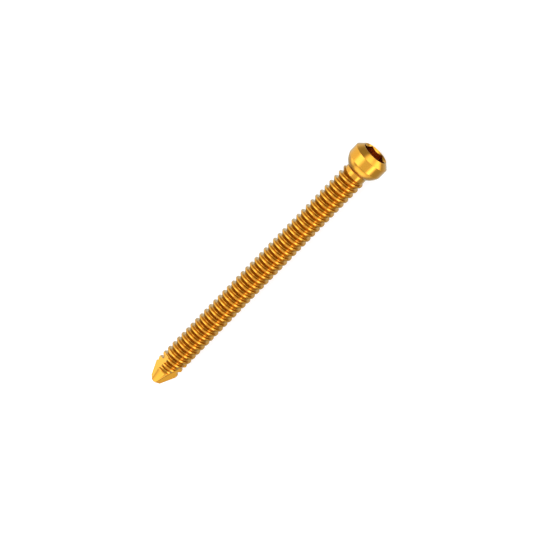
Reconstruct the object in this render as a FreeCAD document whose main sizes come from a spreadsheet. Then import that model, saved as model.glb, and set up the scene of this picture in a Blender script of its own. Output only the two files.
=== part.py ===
import FreeCAD, Part
import Sketcher
import math
import os

# Locking bone screw, turned from one titanium bar: self-tapping tip, full thread,
# plain neck, ball-backed head with a hexagon socket. All sizes are millimetres.
# The screw is drawn upright, tip at the origin and head up, then laid down to rest.

SIZES = [
    ("total_length", 50.0, "tip to head top"),
    ("thread_diameter", 4.0, "over the thread crests"),
    ("core_diameter", 3.36, "at the thread roots"),
    ("thread_pitch", 1.04, "crest to crest, one start, right hand"),
    ("thread_start", 0.78, "tip to the first crest, on the side that lies uppermost"),
    ("point_diameter", 1.86, "blunt point where it meets the taper"),
    ("point_angle", 124.0, "blunt point, side to side, degrees"),
    ("taper_angle", 23.6, "tip taper from the axis, degrees"),
    ("flute_count", 3, "self-tapping flutes"),
    ("flute_wall_angle", 100.0, "cutting wall of the first flute, degrees"),
    ("flute_wall_offset", 0.2, "cutting wall past the axis"),
    ("flute_floor_turn", 21.0, "floor opened past square to the wall, degrees"),
    ("flute_floor_start", 0.25, "floor out along the wall at the tip end"),
    ("flute_floor_angle", 16.0, "floor climbing along the wall, degrees"),
    ("neck_diameter", 3.55, "plain neck under the head"),
    ("neck_length", 0.8, "last thread to the head"),
    ("head_diameter", 5.8, "barrel of the head"),
    ("head_height", 3.85, "neck end to head top"),
    ("seat_height", 1.54, "neck end to barrel, part of a ball centred on the axis"),
    ("rim_diameter", 4.2, "flat rim round the socket"),
    ("bevel_angle", 45.0, "bevel of the head top, degrees"),
    ("socket_flats", 3.5, "hexagon socket across flats"),
    ("socket_depth", 2.2, "hexagon socket, straight part"),
    ("socket_mouth_diameter", 4.1, "countersink of the socket"),
    ("socket_mouth_angle", 90.0, "countersink, side to side, degrees"),
    ("drill_point_angle", 118.0, "cone under the hexagon, side to side, degrees"),
    ("cut_margin", 0.5, "how far cutting profiles reach past the metal"),
    ("roll_angle", 80.0, "how far the screw is rolled as it lies, degrees"),
]

doc = FreeCAD.newDocument("locking_bone_screw")
sheet = doc.addObject("Spreadsheet::Sheet", "Sizes")
for row, (alias, value, note) in enumerate(SIZES, start=1):
    sheet.set("A%d" % row, alias)
    sheet.set("B%d" % row, str(value))
    sheet.set("C%d" % row, note)
    sheet.setAlias("B%d" % row, alias)
doc.recompute()


def size(alias):
    return float(sheet.get(alias))


def helix_turn(radius, height, pitch):
    """One right-hand turn round the axis, starting at the given height."""
    edge = Part.makeHelix(pitch, pitch, radius).Edges[0]
    edge.translate(FreeCAD.Vector(0, 0, height))
    return edge


def threaded_bar(core, crest, pitch, start, turns):
    """A closed bar whose whole surface is the thread: two helical flanks per turn."""
    half = pitch / 2
    faces = []
    for turn in range(turns):
        height = start + turn * pitch
        low = helix_turn(core, height - half, pitch)
        top = helix_turn(crest, height, pitch)
        high = helix_turn(core, height + half, pitch)
        faces.append(Part.makeRuledSurface(low, top))
        faces.append(Part.makeRuledSurface(top, high))
    for height in (start, start + turns * pitch):
        axis_low = FreeCAD.Vector(0, 0, height - half)
        axis_high = FreeCAD.Vector(0, 0, height + half)
        root_low = FreeCAD.Vector(core, 0, height - half)
        root_high = FreeCAD.Vector(core, 0, height + half)
        crest_point = FreeCAD.Vector(crest, 0, height)
        axis = Part.makeLine(axis_low, axis_high)
        faces.append(Part.makeRuledSurface(axis, helix_turn(core, height - half, pitch)))
        step = [axis_low, root_low, crest_point, root_high, axis_high, axis_low]
        faces.append(Part.Face(Part.makePolygon(step)))
    shell = Part.makeShell(faces)
    shell.sewShape()
    return Part.makeSolid(shell)


def add_sketch(body, name, role):
    """A sketch on one of the body's own origin planes."""
    plane = next(item for item in body.Origin.OriginFeatures if item.Role == role)
    sketch = body.newObject("Sketcher::SketchObject", name)
    sketch.AttachmentSupport = [(plane, "")]
    sketch.MapMode = "FlatFace"
    return sketch


def bind(sketch, constraint, name, expression):
    """Adds a driving constraint and ties it to the sheet."""
    index = sketch.addConstraint(constraint)
    sketch.renameConstraint(index, name)
    sketch.setExpression("Constraints." + name, expression)


def outline(sketch, corners, arcs=None):
    """A closed outline through corners given as (across, along) expressions.

    arcs maps the number of a corner to the radius expression of a round stretch
    that bulges outward from that corner to the next one.
    """
    arcs = arcs or {}
    spots = []
    for across, along in corners:
        x = float(sketch.evalExpression(across))
        y = float(sketch.evalExpression(along))
        spots.append(FreeCAD.Vector(x, y, 0))
    count = len(spots)
    for number in range(count):
        start, end = spots[number], spots[(number + 1) % count]
        if number in arcs:
            radius = float(sketch.evalExpression(arcs[number]))
            chord = end - start
            side = FreeCAD.Vector(chord.y, -chord.x, 0).normalize()
            rise = radius - math.sqrt(radius ** 2 - chord.Length ** 2 / 4)
            middle = start + chord * 0.5 + side * rise
            sketch.addGeometry(Part.Arc(start, middle, end), False)
        else:
            sketch.addGeometry(Part.LineSegment(start, end), False)
    for number in range(count):
        following = (number + 1) % count
        end_point = end_of(sketch, number, spots[following])
        start_point = 3 - end_of(sketch, following, spots[(following + 1) % count])
        sketch.addConstraint(Sketcher.Constraint("Coincident", number, end_point, following, start_point))
    for number, (across, along) in enumerate(corners):
        point = 3 - end_of(sketch, number, spots[(number + 1) % count])
        place_point(sketch, number, point, across, along)
    for number, radius in arcs.items():
        value = float(sketch.evalExpression(radius))
        bind(sketch, Sketcher.Constraint("Radius", number, value), "radius_%d" % number, radius)


def end_of(sketch, number, spot):
    """Which end, 1 or 2, of a sketch edge lies at the spot."""
    return 2 if sketch.getPoint(number, 2).distanceToPoint(spot) < 1e-6 else 1


def place_point(sketch, number, point, across, along):
    """Fixes a sketch point by its distances from the origin."""
    for kind, axis, expression in (("DistanceX", -2, across), ("DistanceY", -1, along)):
        value = float(sketch.evalExpression(expression))
        if expression == "0":
            sketch.addConstraint(Sketcher.Constraint("PointOnObject", number, point, axis))
        else:
            name = "%s_%d" % ("across" if axis == -2 else "along", number)
            bind(sketch, Sketcher.Constraint(kind, -1, 1, number, point, value), name, expression)


def finish(body, feature, adds=False):
    """Makes the feature the body's last one and makes sure it changed the metal."""
    before = body.Shape.Volume
    body.Tip = feature
    doc.recompute()
    change = body.Shape.Volume - before
    if abs(change) < 1e-3 or (change > 0) != adds:
        raise ValueError("%s changed the volume by %.4f" % (feature.Label, change))


def turned(body, kind, name, corners, arcs=None):
    """A feature turned round the screw axis from a half outline."""
    sketch = add_sketch(body, name + "_outline", "XZ_Plane")
    outline(sketch, corners, arcs)
    doc.recompute()
    feature = body.newObject("PartDesign::" + kind, name)
    feature.Profile = sketch
    feature.ReferenceAxis = (sketch, ["V_Axis"])
    feature.Angle = 360
    finish(body, feature, kind == "Revolution")


def neck_and_head(body):
    """Neck, ball-shaped underside, barrel, bevel and flat rim, turned in one profile."""
    neck_end = "Sizes.total_length - Sizes.head_height"
    overhang = "(Sizes.head_diameter ^ 2 - Sizes.neck_diameter ^ 2) / 4"
    centre = "((%s + Sizes.seat_height ^ 2) / (2 * Sizes.seat_height))" % overhang
    ball = "sqrt(Sizes.neck_diameter ^ 2 / 4 + %s ^ 2)" % centre
    bevel = "(Sizes.head_diameter - Sizes.rim_diameter) / 2 / tan(Sizes.bevel_angle * 1deg)"
    corners = [
        ("0", neck_end + " - Sizes.neck_length"),
        ("Sizes.neck_diameter / 2", neck_end + " - Sizes.neck_length"),
        ("Sizes.neck_diameter / 2", neck_end),
        ("Sizes.head_diameter / 2", neck_end + " + Sizes.seat_height"),
        ("Sizes.head_diameter / 2", "Sizes.total_length - " + bevel),
        ("Sizes.rim_diameter / 2", "Sizes.total_length"),
        ("0", "Sizes.total_length"),
    ]
    turned(body, "Revolution", "neck_and_head", corners, {2: ball})


def tip_taper(body):
    """Turns the bar down to the tapered tip and its blunt point."""
    outside = "Sizes.thread_diameter / 2 + Sizes.cut_margin"
    point = "Sizes.point_diameter / 2"
    point_height = point + " / tan(Sizes.point_angle / 2 * 1deg)"
    taper_end = "%s + (%s - %s) / tan(Sizes.taper_angle * 1deg)" % (point_height, outside, point)
    below = "-2 * Sizes.thread_pitch - Sizes.cut_margin"
    corners = [
        ("0", below),
        (outside, below),
        (outside, taper_end),
        (point, point_height),
        ("0", "0"),
    ]
    turned(body, "Groove", "tip_taper", corners)


def thread_end(body):
    """Cuts the bar square where the neck begins."""
    outside = "Sizes.thread_diameter / 2 + Sizes.cut_margin"
    neck_start = "Sizes.total_length - Sizes.head_height - Sizes.neck_length"
    above = "Sizes.total_length + Sizes.cut_margin"
    corners = [
        ("0", neck_start),
        (outside, neck_start),
        (outside, above),
        ("0", above),
    ]
    turned(body, "Groove", "thread_end", corners)


def socket_hexagon(body):
    """The hexagon of the socket, sunk from the head top."""
    sketch = add_sketch(body, "socket_outline", "XY_Plane")
    sketch.setExpression("AttachmentOffset.Base.z", "Sizes.total_length")
    corner = size("socket_flats") / math.sqrt(3)
    spots = []
    for number in range(6):
        turn = math.radians(60 * number - 30)
        spots.append(FreeCAD.Vector(corner * math.cos(turn), corner * math.sin(turn), 0))
    for number in range(6):
        sketch.addGeometry(Part.LineSegment(spots[number], spots[(number + 1) % 6]), False)
    circle = sketch.addGeometry(Part.Circle(FreeCAD.Vector(), FreeCAD.Vector(0, 0, 1), corner), True)
    for number in range(6):
        sketch.addConstraint(Sketcher.Constraint("Coincident", number, 2, (number + 1) % 6, 1))
        sketch.addConstraint(Sketcher.Constraint("PointOnObject", number, 1, circle))
    for number in range(1, 6):
        sketch.addConstraint(Sketcher.Constraint("Equal", 0, number))
    sketch.addConstraint(Sketcher.Constraint("Coincident", circle, 3, -1, 1))
    sketch.addConstraint(Sketcher.Constraint("Vertical", 0))
    corners = Sketcher.Constraint("Diameter", circle, 2 * corner)
    bind(sketch, corners, "across_corners", "Sizes.socket_flats * 2 / sqrt(3)")
    doc.recompute()
    pocket = body.newObject("PartDesign::Pocket", "socket")
    pocket.Profile = sketch
    pocket.setExpression("Length", "Sizes.socket_depth")
    finish(body, pocket)


def socket_mouth(body):
    """The countersink that breaks the mouth of the hexagon."""
    mouth = "Sizes.socket_mouth_diameter / 2"
    deep = "Sizes.total_length - %s / tan(Sizes.socket_mouth_angle / 2 * 1deg)" % mouth
    corners = [("0", deep), (mouth, "Sizes.total_length"), ("0", "Sizes.total_length")]
    turned(body, "Groove", "socket_mouth", corners)


def socket_floor(body):
    """The cone that the drill left under the hexagon."""
    drill = "Sizes.socket_flats / 2"
    floor = "Sizes.total_length - Sizes.socket_depth"
    deep = "%s - %s / tan(Sizes.drill_point_angle / 2 * 1deg)" % (floor, drill)
    corners = [("0", deep), (drill, floor), ("0", floor)]
    turned(body, "Groove", "socket_floor", corners)


def cutting_flutes(body):
    """Flutes with a wall along the axis and a floor that climbs out of the metal."""
    sketch = add_sketch(body, "flute_outline", "XZ_Plane")
    quarter = FreeCAD.Rotation(FreeCAD.Vector(0, 1, 0), 90)
    sketch.AttachmentOffset = FreeCAD.Placement(FreeCAD.Vector(), quarter)
    wall = "Sizes.flute_wall_offset * %s(Sizes.flute_wall_angle * 1deg)"
    sketch.setExpression("AttachmentOffset.Rotation.Angle", "Sizes.flute_wall_angle")
    sketch.setExpression("AttachmentOffset.Base.x", wall % "sin")
    sketch.setExpression("AttachmentOffset.Base.z", wall % "cos")
    doc.recompute()
    outside = "Sizes.thread_diameter / 2 + Sizes.cut_margin"
    slope = "tan(Sizes.flute_floor_angle * 1deg)"
    below = "-Sizes.cut_margin"
    foot = "Sizes.flute_floor_start - Sizes.cut_margin * " + slope
    climb = "(%s - Sizes.flute_floor_start) / %s" % (outside, slope)
    outline(sketch, [(foot, below), (outside, below), (outside, climb)])
    doc.recompute()
    flute = body.newObject("PartDesign::Pocket", "flute")
    flute.Profile = sketch
    flute.Reversed = True
    flute.setExpression("Length", "Sizes.thread_diameter")
    flute.UseCustomVector = True
    heading = "%s((Sizes.flute_wall_angle - 90 - Sizes.flute_floor_turn) * 1deg)"
    flute.setExpression("Direction.x", heading % "cos")
    flute.setExpression("Direction.y", heading % "sin")
    finish(body, flute)
    ring = body.newObject("PartDesign::PolarPattern", "flutes")
    ring.Originals = [flute]
    axis = next(item for item in body.Origin.OriginFeatures if item.Role == "Z_Axis")
    ring.Axis = (axis, [""])
    ring.Angle = 360
    ring.setExpression("Occurrences", "Sizes.flute_count")
    finish(body, ring)


def resting_line(shape, down):
    """The two points, as (along, out), that touch a flat floor when the screw lies down.

    The lowest points of the shape towards down form a chain that bulges outward.
    The screw rests on the stretch of that chain under its centre of mass.
    """
    points = sorted((spot.z, spot.dot(down)) for spot in shape.tessellate(0.02)[0])
    chain = []
    for spot in points:
        while len(chain) > 1 and bends_in(chain[-2], chain[-1], spot):
            chain.pop()
        chain.append(spot)
    balance = shape.CenterOfGravity.z
    return next((a, b) for a, b in zip(chain, chain[1:]) if a[0] <= balance <= b[0])


def bends_in(first, middle, last):
    """True if the middle point lies inside the straight line from first to last."""
    rise = (last[1] - first[1]) * (middle[0] - first[0])
    return rise >= (middle[1] - first[1]) * (last[0] - first[0])


def lie_down(body):
    """Lays the screw along +X, head forward, resting on head and thread at height zero."""
    roll = math.radians(size("roll_angle"))
    down = FreeCAD.Vector(-math.sin(roll), math.cos(roll), 0)
    tip_rest, head_rest = resting_line(body.Shape, down)
    lean = math.atan2(head_rest[1] - tip_rest[1], head_rest[0] - tip_rest[0])
    along = FreeCAD.Vector(math.cos(lean), 0, math.sin(lean))
    toward = FreeCAD.Vector(0, -math.cos(roll), math.sin(roll))
    away = along.cross(toward)
    turn = FreeCAD.Rotation(toward, away, along, "ZXY")
    body.Placement = FreeCAD.Placement(FreeCAD.Vector(), turn)
    doc.recompute()
    box = body.Shape.optimalBoundingBox(False, False)
    shift = FreeCAD.Vector(-box.Center.x, -box.Center.y, -box.ZMin)
    body.Placement = FreeCAD.Placement(shift, turn)
    doc.recompute()


def thread_bar():
    """The bar with the full thread, from below the tip to past the neck."""
    pitch = size("thread_pitch")
    start = size("thread_start") - 2 * pitch
    neck_start = size("total_length") - size("head_height") - size("neck_length")
    turns = math.ceil((neck_start - start) / pitch + 0.5)
    bar = doc.addObject("Part::Feature", "thread_bar")
    bar.Shape = threaded_bar(size("core_diameter") / 2, size("thread_diameter") / 2, pitch, start, turns)
    bar.Placement = FreeCAD.Placement()
    return bar


screw = doc.addObject("PartDesign::Body", "bone_screw")
screw.Label = "bone_screw"
screw.BaseFeature = thread_bar()
doc.recompute()
tip_taper(screw)
thread_end(screw)
neck_and_head(screw)
socket_hexagon(screw)
socket_mouth(screw)
socket_floor(screw)
cutting_flutes(screw)
lie_down(screw)

for item in doc.Objects:
    if "Invalid" in item.State or "Error" in item.State:
        raise ValueError(item.Label + " did not recompute")
if screw.Shape.isNull() or not screw.Shape.isValid():
    raise ValueError("the screw is not a valid solid")
os.makedirs("parts", exist_ok=True)
screw.Shape.exportStep("parts/bone_screw.step")
print("bone_screw volume", round(screw.Shape.Volume, 2))
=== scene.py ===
import math

import bpy
from bpy.props import FloatProperty, FloatVectorProperty, IntProperty, PointerProperty
from bpy.types import Operator, Panel, PropertyGroup
from mathutils import Matrix, Vector


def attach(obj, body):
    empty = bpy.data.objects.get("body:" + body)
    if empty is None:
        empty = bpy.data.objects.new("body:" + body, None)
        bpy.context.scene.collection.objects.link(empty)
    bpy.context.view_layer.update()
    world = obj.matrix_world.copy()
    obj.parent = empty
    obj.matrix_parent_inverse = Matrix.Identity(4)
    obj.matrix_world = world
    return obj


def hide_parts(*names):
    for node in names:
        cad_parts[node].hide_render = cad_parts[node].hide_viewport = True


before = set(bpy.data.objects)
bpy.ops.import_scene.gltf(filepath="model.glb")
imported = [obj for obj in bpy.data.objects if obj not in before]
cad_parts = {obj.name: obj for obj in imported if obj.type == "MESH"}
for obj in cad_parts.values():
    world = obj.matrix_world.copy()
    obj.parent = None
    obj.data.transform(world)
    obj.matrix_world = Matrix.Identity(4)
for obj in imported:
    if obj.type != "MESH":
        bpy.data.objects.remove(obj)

bl_info = {
    "name": "Locking bone screw",
    "version": (1, 0, 0),
    "blender": (4, 5, 0),
    "location": "3D View > Sidebar > Bone screw",
    "description": "Gold anodised bone screw and its studio",
    "category": "Object",
}

# The screw is drawn upright, tip at the origin, head up along Z, and the side that
# faces the camera along X. Its rest lays it on the floor.
TIP_AT = (-0.0250162, 0.0, 0.0019320)
LEAN = math.atan2(0.020286, 0.999794)

# How finely the mesh is made.
TURNED_SIDES = 144
DRILL_SIDES = 96
SEAT_STEPS = 16
SHARP_ANGLE = math.radians(22)

# How far cutting shapes reach past the metal, how far the drill cone stays inside the
# hexagon, and how far it reaches over the hexagon's floor.
CUT_MARGIN = 0.0005
DRILL_GAP = 1e-6
DRILL_LIP = 1e-5

# A cut that leaves fewer faces than this has lost the piece.
FEWEST_FACES = 10

WHITE = (1, 1, 1)
COOL = (0.98, 1, 1.2)

# Name, degrees round the screw from the side that faces the camera, degrees along it
# toward the head, width and height in metres, radiance, distance in metres, the share
# of each side over which the light fades out, and colour.
SOFTBOXES = (
    ("upper softbox", -38, -12, 0.75, 0.54, 2.1, 0.5, 0.4, COOL),
    ("lower softbox", 52, -2, 1.15, 0.34, 3.3, 0.5, 0.4, COOL),
    ("front fill", 2, -14, 0.5, 0.9, 0.75, 0.55, 0.2, WHITE),
    ("head end softbox", 8, 70, 0.4, 0.5, 2.3, 0.5, 0.4, WHITE),
    ("head end lower softbox", 88, 52, 0.4, 0.5, 2.8, 0.5, 0.4, WHITE),
    ("tip end softbox", 14, -76, 0.55, 0.75, 1.8, 0.5, 0.4, WHITE),
    ("tip end lower softbox", 86, -56, 0.5, 0.5, 0.8, 0.5, 0.4, WHITE),
    ("tip side softbox", -88, -46, 0.45, 0.4, 1.1, 0.5, 0.4, WHITE),
)


def length(name, value, note):
    return FloatProperty(name=name, description=note, default=value, unit="LENGTH", precision=6)


def angle(name, degrees, note):
    return FloatProperty(
        name=name, description=note, default=math.radians(degrees), subtype="ANGLE")


class ScrewSizes(PropertyGroup):
    total: length("Total length", 0.050, "tip to head top")
    crest: length("Thread diameter", 0.0040, "over the thread crests")
    root: length("Root diameter", 0.00300, "at the thread roots")
    pitch: length("Pitch", 0.00104, "crest to crest")
    thread_start: length("Thread start", 0.00092, "tip to the first crest on the upper side")
    run_in: length("Thread run-in", 0.0026, "tip to where the valleys begin")
    run_in_length: length("Run-in length", 0.0011, "until the valleys have their full depth")
    crest_flat: length("Crest width", 0.00023, "width of the crest before rounding")
    steep_flank: length("Steep flank", 0.00005, "length of the ridge side that faces the head")
    root_flat: length("Root width", 0.00020, "width of the valley floor before rounding")
    crest_round: length("Crest rounding", 0.00006, "rounding of the crest edges")
    steep_round: length("Steep rounding", 0.00008, "rounding at the foot of the steep flank")
    root_round: length("Root rounding", 0.00025, "rounding at the foot of the long flank")
    point: length("Point diameter", 0.00186, "blunt point where it meets the taper")
    point_angle: angle("Point angle", 124, "blunt point, side to side")
    taper: angle("Taper", 23.6, "tip taper from the axis")
    neck: length("Neck diameter", 0.00355, "plain neck under the head")
    neck_length: length("Neck length", 0.0008, "last thread to the head")
    head: length("Head diameter", 0.0058, "barrel of the head")
    head_height: length("Head height", 0.00385, "neck end to head top")
    seat: length("Seat height", 0.00154, "neck end to barrel, part of a ball centred on the axis")
    rim: length("Rim diameter", 0.0042, "flat rim round the socket")
    bevel: angle("Bevel", 45, "bevel of the head top")
    edge_round: length("Edge rounding", 0.00004, "rounding of the turned edges")
    socket: length("Socket flats", 0.0035, "hexagon across flats")
    socket_depth: length("Socket depth", 0.0022, "hexagon, straight part")
    mouth: length("Socket mouth", 0.0041, "countersink of the socket")
    mouth_angle: angle("Mouth angle", 90, "countersink, side to side")
    drill_angle: angle("Drill cone", 118, "cone under the hexagon, side to side")
    flute_wall: angle("Flute wall", 100, "cutting wall of the first flute")
    flute_offset: length("Flute offset", 0.0002, "cutting wall past the axis")
    flute_turn: angle("Flute floor turn", 21, "floor opened past square to the wall")
    flute_start: length("Flute floor start", 0.00025, "floor out along the wall at the tip end")
    flute_climb: angle("Flute floor climb", 16, "floor climbing along the wall")
    flutes: IntProperty(name="Flutes", description="self-tapping flutes", default=3, min=1)
    steps: IntProperty(
        name="Steps per turn", description="mesh steps round the thread", default=72, min=12)


class ScrewColours(PropertyGroup):
    gold: FloatVectorProperty(
        name="Gold", description="anodised surface", subtype="COLOR", size=4,
        default=(0.60, 0.293, 0.036, 1), min=0, max=1)
    deep_gold: FloatVectorProperty(
        name="Deep gold", description="slightly thicker oxide", subtype="COLOR", size=4,
        default=(0.57, 0.270, 0.028, 1), min=0, max=1)
    floor: FloatVectorProperty(
        name="Floor", description="plain pale floor", subtype="COLOR", size=4,
        default=(0.5, 0.5, 0.5, 1), min=0, max=1)


class StudioSizes(PropertyGroup):
    view_roll: angle("View height", 80, "camera above the floor, across the screw")
    view_tilt: angle("View tilt", 20, "camera toward the head end")
    image_slope: angle("Slope in the image", 45.77, "how the screw runs in the image")
    aim_along: length("Aim along", 0.025845, "middle of the image, from the tip")
    aim_aside: length("Aim aside", 0.000133, "middle of the image, beside the axis")
    distance: length("Camera distance", 0.42, "camera to the middle of the screw")
    lens: FloatProperty(name="Lens", description="focal length", default=192.5, unit="CAMERA")
    floor: length("Floor size", 3.0, "side of the floor")
    floor_glow: FloatProperty(
        name="Floor glow", description="light that the floor gives off", default=0.6, min=0)


def mesh_object(name, points, faces):
    """A new object in the scene, with a mesh of the given points and faces."""
    mesh = bpy.data.meshes.new(name)
    mesh.from_pydata([tuple(point) for point in points], [], faces)
    mesh.validate()
    mesh.update()
    piece = bpy.data.objects.new(name, mesh)
    bpy.context.scene.collection.objects.link(piece)
    return piece


def rounded(corners, radii, parts):
    """Points of a line through corners, with the numbered corners rounded."""
    line = []
    for number, corner in enumerate(corners):
        here = Vector(corner)
        radius = radii.get(number, 0)
        if not radius:
            line.append(here)
            continue
        back = (Vector(corners[number - 1]) - here).normalized()
        ahead = (Vector(corners[(number + 1) % len(corners)]) - here).normalized()
        opening = back.angle(ahead)
        reach = radius / math.tan(opening / 2)
        middle = here + (back + ahead).normalized() * radius / math.sin(opening / 2)
        start = here + back * reach - middle
        end = here + ahead * reach - middle
        sweep = math.pi - opening
        for part in range(parts + 1):
            share = part / parts
            spot = start * math.sin((1 - share) * sweep) + end * math.sin(share * sweep)
            line.append(middle + spot / math.sin(sweep))
    return line


def turned_solid(name, profile, sides):
    """A solid turned round Z from a line of (radius, height) that starts and ends on it."""
    points = [(0, 0, profile[0][1])]
    for radius, height in profile[1:-1]:
        for side in range(sides):
            turn = 2 * math.pi * side / sides
            points.append((radius * math.cos(turn), radius * math.sin(turn), height))
    points.append((0, 0, profile[-1][1]))
    last = len(points) - 1
    faces = []
    rings = len(profile) - 2
    for side in range(sides):
        following = (side + 1) % sides
        faces.append((0, 1 + following, 1 + side))
        for ring in range(rings - 1):
            low = 1 + ring * sides
            high = low + sides
            faces.append((low + side, low + following, high + following, high + side))
        top = 1 + (rings - 1) * sides
        faces.append((top + side, top + following, last))
    return mesh_object(name, points, faces)


def thread_solid(name, sizes, start, turns):
    """A bar with the full thread: a ridge profile carried along a right-hand helix.

    The valleys begin at the run-in and reach their full depth over its length.
    """
    crest, root = sizes.crest / 2, sizes.root / 2
    head_side = sizes.crest_flat / 2 + sizes.steep_flank + sizes.root_flat / 2
    tip_side = head_side - sizes.pitch
    corners = [
        (tip_side, root),
        (tip_side + sizes.root_flat / 2, root),
        (-sizes.crest_flat / 2, crest),
        (sizes.crest_flat / 2, crest),
        (head_side - sizes.root_flat / 2, root),
        (head_side, root),
    ]
    radii = {
        1: sizes.root_round,
        2: sizes.crest_round,
        3: sizes.crest_round,
        4: sizes.steep_round,
    }
    profile = rounded(corners, radii, parts=4)[:-1]
    count = len(profile)
    steps = sizes.steps
    total = turns * steps
    points = []
    for step in range(total + 1):
        turn = 2 * math.pi * step / steps
        for offset, radius in profile:
            height = start + sizes.pitch * step / steps + offset
            depth = min(max((height - sizes.run_in) / sizes.run_in_length, 0), 1)
            radius = crest - (crest - radius) * depth
            points.append((radius * math.cos(turn), radius * math.sin(turn), height))
    closing = len(points)
    for step in range(total - steps + 1, total + 1):
        turn = 2 * math.pi * step / steps
        height = start + sizes.pitch * step / steps + head_side
        points.append((root * math.cos(turn), root * math.sin(turn), height))

    def spot(step, number):
        if number < count:
            return step * count + number
        if step + steps <= total:
            return (step + steps) * count
        return closing + step - (total - steps + 1)

    faces = []
    for step in range(total):
        for number in range(count):
            faces.append((spot(step, number), spot(step + 1, number),
                          spot(step + 1, number + 1), spot(step, number + 1)))
    low_loop = [spot(step, 0) for step in range(steps)]
    low_loop += [spot(0, number) for number in range(count, 0, -1)]
    low_axis = len(points)
    points.append((0, 0, start + tip_side))
    for first, second in zip(low_loop, low_loop[1:] + low_loop[:1]):
        faces.append((second, first, low_axis))
    high_loop = [spot(step, count) for step in range(total - steps, total)]
    high_loop += [spot(total, number) for number in range(count, 0, -1)]
    high_axis = len(points)
    points.append((0, 0, start + turns * sizes.pitch + head_side))
    for first, second in zip(high_loop, high_loop[1:] + high_loop[:1]):
        faces.append((first, second, high_axis))
    return mesh_object(name, points, faces)


def prism(name, outline, along):
    """A straight prism from an outline, carried along a vector."""
    count = len(outline)
    points = list(outline) + [point + along for point in outline]
    faces = [tuple(range(count - 1, -1, -1)), tuple(range(count, 2 * count))]
    for number in range(count):
        following = (number + 1) % count
        faces.append((number, following, count + following, count + number))
    piece = mesh_object(name, points, faces)
    normal = (outline[1] - outline[0]).cross(outline[2] - outline[1])
    if normal.dot(along) < 0:
        piece.data.flip_normals()
    return piece


def combine(piece, tool, operation):
    """Cuts, joins or meets the piece with the tool, and drops the tool."""
    step = piece.modifiers.new("combine", "BOOLEAN")
    step.operation = operation
    step.solver = "MANIFOLD"
    step.object = tool
    bpy.context.view_layer.update()
    graph = bpy.context.evaluated_depsgraph_get()
    result = bpy.data.meshes.new_from_object(piece.evaluated_get(graph))
    piece.modifiers.clear()
    old = piece.data
    piece.data = result
    bpy.data.meshes.remove(old)
    bpy.data.objects.remove(tool)
    if len(result.polygons) < FEWEST_FACES:
        raise RuntimeError(piece.name + " was lost in a " + operation)


def head_solid(sizes):
    """Neck and head with rounded edges, socket not yet cut."""
    top = sizes.total
    neck_end = top - sizes.head_height
    neck, head, rim = sizes.neck / 2, sizes.head / 2, sizes.rim / 2
    middle = (head ** 2 - neck ** 2 + sizes.seat ** 2) / (2 * sizes.seat)
    ball = math.hypot(neck, middle)
    low_turn, high_turn = math.acos(neck / ball), math.acos(head / ball)
    bevel = (head - rim) / math.tan(sizes.bevel)
    corners = [(0, neck_end - sizes.neck_length), (neck, neck_end - sizes.neck_length)]
    for part in range(SEAT_STEPS + 1):
        turn = low_turn + (high_turn - low_turn) * part / SEAT_STEPS
        corners.append((ball * math.cos(turn), neck_end + middle - ball * math.sin(turn)))
    corners += [(head, top - bevel), (rim, top), (0, top)]
    last = len(corners) - 1
    edges = (1, 2, last - 3, last - 2, last - 1)
    line = rounded(corners, {number: sizes.edge_round for number in edges}, parts=3)
    return turned_solid("head", line, TURNED_SIDES)


def cut_socket(piece, sizes):
    """Hexagon, countersunk mouth and drill cone."""
    top = sizes.total
    floor = top - sizes.socket_depth
    corner = sizes.socket / math.sqrt(3)
    outline = []
    for number in range(6):
        turn = math.radians(60 * number - 30)
        outline.append(Vector((corner * math.cos(turn), corner * math.sin(turn), floor)))
    hexagon = prism("hexagon", outline, Vector((0, 0, sizes.socket_depth * 1.5)))
    combine(piece, hexagon, "DIFFERENCE")
    mouth = sizes.mouth / 2
    slope = math.tan(sizes.mouth_angle / 2)
    over = mouth / 2
    cone = [(0, top - mouth / slope), (mouth + over * slope, top + over), (0, top + over)]
    combine(piece, turned_solid("mouth", cone, TURNED_SIDES), "DIFFERENCE")
    drill = sizes.socket / 2 - DRILL_GAP
    point = floor - drill / math.tan(sizes.drill_angle / 2)
    cone = [(0, point), (drill, floor), (drill, floor + DRILL_LIP), (0, floor + DRILL_LIP)]
    combine(piece, turned_solid("drill", cone, DRILL_SIDES), "DIFFERENCE")


def cut_flutes(piece, sizes):
    """Flutes with a wall along the axis and a floor that climbs out of the metal."""
    outside = sizes.crest / 2 + CUT_MARGIN
    slope = math.tan(sizes.flute_climb)
    below = -CUT_MARGIN
    flat = [(sizes.flute_start + below * slope, below), (outside, below),
            (outside, (outside - sizes.flute_start) / slope)]
    for number in range(sizes.flutes):
        wall = sizes.flute_wall + 2 * math.pi * number / sizes.flutes
        out = Vector((math.cos(wall), math.sin(wall), 0))
        side = Vector((math.sin(wall), -math.cos(wall), 0))
        floor = wall - math.pi / 2 - sizes.flute_turn
        sweep = Vector((math.cos(floor), math.sin(floor), 0)) * sizes.crest
        foot = side * sizes.flute_offset
        outline = [out * across + foot + Vector((0, 0, height)) for across, height in flat]
        combine(piece, prism("flute", outline, sweep), "DIFFERENCE")


def shaft_solid(sizes):
    """Threaded shaft with the tapered tip."""
    start = sizes.thread_start - 2 * sizes.pitch
    neck_start = sizes.total - sizes.head_height - sizes.neck_length
    turns = math.ceil((neck_start - start) / sizes.pitch + 0.5)
    shaft = thread_solid("bone_screw_surface", sizes, start, turns)
    point = sizes.point / 2
    point_height = point / math.tan(sizes.point_angle / 2)
    outside = sizes.crest / 2 + CUT_MARGIN
    taper_end = point_height + (outside - point) / math.tan(sizes.taper)
    around = [
        (0, 0),
        (point, point_height),
        (outside, taper_end),
        (outside, neck_start),
        (0, neck_start),
    ]
    combine(shaft, turned_solid("envelope", around, TURNED_SIDES), "INTERSECT")
    return shaft


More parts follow.
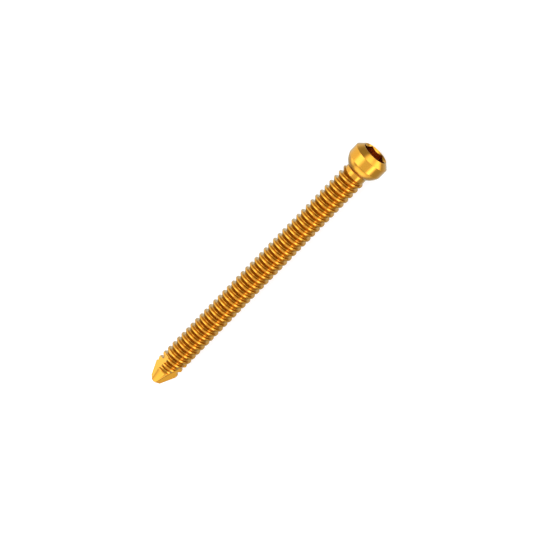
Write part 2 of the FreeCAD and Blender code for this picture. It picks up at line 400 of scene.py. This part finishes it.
def gold_metal(colours, roll):
    """Anodised titanium: tinted metal with fine turning marks and a slight drift of tint."""
    material = bpy.data.materials.new("gold_anodised_titanium")
    material.use_nodes = True
    nodes, links = material.node_tree.nodes, material.node_tree.links
    shader = nodes["Principled BSDF"]
    shader.inputs["Metallic"].default_value = 1.0
    shader.inputs["Specular Tint"].default_value = (0.8, 0.97, 1, 1)
    object_place = nodes.new("ShaderNodeTexCoord")
    upright = nodes.new("ShaderNodeMapping")
    back = rest_matrix(roll).inverted()
    upright.inputs["Location"].default_value = back.to_translation()
    upright.inputs["Rotation"].default_value = back.to_euler()
    links.new(object_place.outputs["Object"], upright.inputs["Vector"])
    drift = nodes.new("ShaderNodeTexNoise")
    drift.inputs["Scale"].default_value = 220
    drift.inputs["Detail"].default_value = 2
    links.new(upright.outputs["Vector"], drift.inputs["Vector"])
    # A colour mix takes its factor at input 0 and its colours at 6 and 7.
    tint = nodes.new("ShaderNodeMix")
    tint.data_type = "RGBA"
    links.new(drift.outputs["Fac"], tint.inputs[0])
    tint.inputs[6].default_value = colours.gold
    tint.inputs[7].default_value = colours.deep_gold
    links.new(tint.outputs[2], shader.inputs["Base Color"])
    stretch = nodes.new("ShaderNodeMapping")
    stretch.inputs["Scale"].default_value = (60, 60, 26000)
    links.new(upright.outputs["Vector"], stretch.inputs["Vector"])
    marks = nodes.new("ShaderNodeTexNoise")
    marks.inputs["Scale"].default_value = 1
    marks.inputs["Detail"].default_value = 3
    links.new(stretch.outputs["Vector"], marks.inputs["Vector"])
    sheen = nodes.new("ShaderNodeMapRange")
    sheen.inputs["To Min"].default_value = 0.16
    sheen.inputs["To Max"].default_value = 0.26
    links.new(marks.outputs["Fac"], sheen.inputs["Value"])
    links.new(sheen.outputs["Result"], shader.inputs["Roughness"])
    edge = nodes.new("ShaderNodeBevel")
    edge.samples = 4
    edge.inputs["Radius"].default_value = 0.00003
    bump = nodes.new("ShaderNodeBump")
    bump.inputs["Strength"].default_value = 0.12
    bump.inputs["Distance"].default_value = 0.000004
    links.new(marks.outputs["Fac"], bump.inputs["Height"])
    links.new(edge.outputs["Normal"], bump.inputs["Normal"])
    links.new(bump.outputs["Normal"], shader.inputs["Normal"])
    return material


def rest_axes(roll):
    """Directions of the upright screw's X, Y and Z when it lies on the floor."""
    lift = math.sin(roll)
    toward = Vector((-math.sin(LEAN) * lift, -math.cos(roll), math.cos(LEAN) * lift))
    along = Vector((math.cos(LEAN), 0, math.sin(LEAN)))
    return toward, along.cross(toward), along


def rest_matrix(roll):
    """Lays the upright screw down on the floor."""
    x, y, z = rest_axes(roll)
    turn = Matrix((x, y, z)).transposed().to_4x4()
    return Matrix.Translation(TIP_AT) @ turn


class SCREW_OT_make(Operator):
    """Makes the screw's surface"""
    bl_idname = "screw.make"
    bl_label = "Make the screw"

    def execute(self, context):
        sizes = context.scene.screw_sizes
        screw = shaft_solid(sizes)
        combine(screw, head_solid(sizes), "UNION")
        cut_socket(screw, sizes)
        cut_flutes(screw, sizes)
        screw.data.shade_smooth()
        screw.data.set_sharp_from_angle(angle=SHARP_ANGLE)
        screw.data.materials.clear()
        roll = context.scene.studio_sizes.view_roll
        screw.data.materials.append(gold_metal(context.scene.screw_colours, roll))
        screw.data.transform(rest_matrix(roll))
        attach(screw, "root")
        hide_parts("bone_screw")
        return {"FINISHED"}


def soft_edges(light, share):
    """Lets the light fade over the given share of its width and height."""
    light.use_nodes = True
    nodes, links = light.node_tree.nodes, light.node_tree.links
    place = nodes.new("ShaderNodeNewGeometry")
    split = nodes.new("ShaderNodeSeparateXYZ")
    links.new(place.outputs["Parametric"], split.inputs["Vector"])
    fades = []
    for axis in ("X", "Y"):
        inward = nodes.new("ShaderNodeMath")
        inward.operation = "PINGPONG"
        inward.inputs[1].default_value = 0.5
        links.new(split.outputs[axis], inward.inputs[0])
        fade = nodes.new("ShaderNodeMapRange")
        fade.interpolation_type = "SMOOTHSTEP"
        fade.inputs["From Max"].default_value = share
        links.new(inward.outputs["Value"], fade.inputs["Value"])
        fades.append(fade.outputs["Result"])
    both = nodes.new("ShaderNodeMath")
    both.operation = "MULTIPLY"
    links.new(fades[0], both.inputs[0])
    links.new(fades[1], both.inputs[1])
    links.new(both.outputs["Value"], nodes["Emission"].inputs["Strength"])


def softbox(roll, name, turn, tilt, wide, tall, glow, distance, edges, colour):
    """A softbox of the given radiance, placed by its angles round and along the screw."""
    x, y, z = rest_axes(roll)
    around = x * math.cos(math.radians(turn)) + y * math.sin(math.radians(turn))
    away = around * math.cos(math.radians(tilt)) + z * math.sin(math.radians(tilt))
    light = bpy.data.lights.new(name, "AREA")
    light.shape = "RECTANGLE"
    light.size = wide
    light.size_y = tall
    light.energy = glow * math.pi * wide * tall
    light.color = colour
    soft_edges(light, edges)
    lamp = bpy.data.objects.new(name, light)
    bpy.context.scene.collection.objects.link(lamp)
    side = z.cross(away).normalized()
    length_way = away.cross(side)
    turn_to = Matrix((length_way, side, away)).transposed().to_4x4()
    lamp.matrix_world = Matrix.Translation(away * distance) @ turn_to


def surroundings(scene, roll):
    """The dim room round the lights, brighter on the side away from the camera and on
    the one that lies uppermost in the image."""
    x, y, z = rest_axes(roll)
    world = bpy.data.worlds.new("studio")
    world.use_nodes = True
    nodes, links = world.node_tree.nodes, world.node_tree.links
    back = nodes["Background"]
    back.inputs["Color"].default_value = (1, 1, 1, 1)
    place = nodes.new("ShaderNodeTexCoord")
    # Direction, how far toward it the change begins and ends, and the glow before and after.
    changes = (
        (-y, 0.35, 0.95, 0.0, 1.0),
        (z, 0.2, 0.6, 1.0, 0.0),
        (y, 0.3, 0.9, 0.0, 0.15),
        (-x, 0.3, 1.0, 0.5, 1.0),
    )
    shares = []
    for direction, low, high, start, end in changes:
        along = nodes.new("ShaderNodeVectorMath")
        along.operation = "DOT_PRODUCT"
        along.inputs[1].default_value = direction
        links.new(place.outputs["Generated"], along.inputs[0])
        share = nodes.new("ShaderNodeMapRange")
        share.interpolation_type = "SMOOTHSTEP"
        share.inputs["From Min"].default_value = low
        share.inputs["From Max"].default_value = high
        share.inputs["To Min"].default_value = start
        share.inputs["To Max"].default_value = end
        links.new(along.outputs["Value"], share.inputs["Value"])
        shares.append(share.outputs["Result"])
    upper, upper_end, lower, below = shares
    glow = nodes.new("ShaderNodeMath")
    glow.operation = "MULTIPLY_ADD"
    links.new(upper, glow.inputs[0])
    links.new(upper_end, glow.inputs[1])
    links.new(lower, glow.inputs[2])
    total = nodes.new("ShaderNodeMath")
    links.new(glow.outputs["Value"], total.inputs[0])
    links.new(below, total.inputs[1])
    links.new(total.outputs["Value"], back.inputs["Strength"])
    scene.world = world


class SCREW_OT_studio(Operator):
    """Makes the floor, the lights and the camera"""
    bl_idname = "screw.studio"
    bl_label = "Make the studio"

    def execute(self, context):
        studio = context.scene.studio_sizes
        colours = context.scene.screw_colours
        half = studio.floor / 2
        corners = [(-half, -half, 0), (half, -half, 0), (half, half, 0), (-half, half, 0)]
        floor = mesh_object("floor", corners, [(0, 1, 2, 3)])
        paint = bpy.data.materials.new("pale_floor")
        paint.use_nodes = True
        shader = paint.node_tree.nodes["Principled BSDF"]
        shader.inputs["Base Color"].default_value = colours.floor
        shader.inputs["Roughness"].default_value = 0.9
        shader.inputs["Emission Color"].default_value = (1, 1, 1, 1)
        shader.inputs["Emission Strength"].default_value = studio.floor_glow
        floor.data.materials.append(paint)
        floor.visible_glossy = False
        surroundings(context.scene, studio.view_roll)
        for row in SOFTBOXES:
            softbox(studio.view_roll, *row)
        context.scene.view_settings.view_transform = "Standard"
        x, y, z = rest_axes(studio.view_roll)
        away = x * math.cos(studio.view_tilt) + z * math.sin(studio.view_tilt)
        run = (z - away * z.dot(away)).normalized()
        slope = studio.image_slope
        right = run * math.cos(slope) + y * math.sin(slope)
        up = run * math.sin(slope) - y * math.cos(slope)
        middle = Vector(TIP_AT) + z * studio.aim_along + y * studio.aim_aside
        lens = bpy.data.cameras.new("camera")
        lens.lens = studio.lens
        lens.clip_start = 0.01
        camera = bpy.data.objects.new("camera", lens)
        context.scene.collection.objects.link(camera)
        turn = Matrix((right, up, away)).transposed().to_4x4()
        camera.matrix_world = Matrix.Translation(middle + away * studio.distance) @ turn
        context.scene.camera = camera
        return {"FINISHED"}


class SCREW_PT_panel(Panel):
    """Sizes, colours and steps of the bone screw"""
    bl_idname = "SCREW_PT_panel"
    bl_label = "Bone screw"
    bl_space_type = "VIEW_3D"
    bl_region_type = "UI"
    bl_category = "Bone screw"

    def draw(self, context):
        scene = context.scene
        for group in (scene.screw_sizes, scene.screw_colours, scene.studio_sizes):
            box = self.layout.box()
            for name in group.__annotations__:
                box.prop(group, name)
        self.layout.operator("screw.make")
        self.layout.operator("screw.studio")


CLASSES = (ScrewSizes, ScrewColours, StudioSizes, SCREW_OT_make, SCREW_OT_studio, SCREW_PT_panel)


def register():
    for entry in CLASSES:
        bpy.utils.register_class(entry)
    bpy.types.Scene.screw_sizes = PointerProperty(type=ScrewSizes)
    bpy.types.Scene.screw_colours = PointerProperty(type=ScrewColours)
    bpy.types.Scene.studio_sizes = PointerProperty(type=StudioSizes)


def unregister():
    del bpy.types.Scene.studio_sizes
    del bpy.types.Scene.screw_colours
    del bpy.types.Scene.screw_sizes
    for entry in reversed(CLASSES):
        bpy.utils.unregister_class(entry)


def main():
    register()
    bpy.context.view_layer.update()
    bpy.ops.screw.make()
    bpy.ops.screw.studio()


if __name__ == "__main__":
    main()
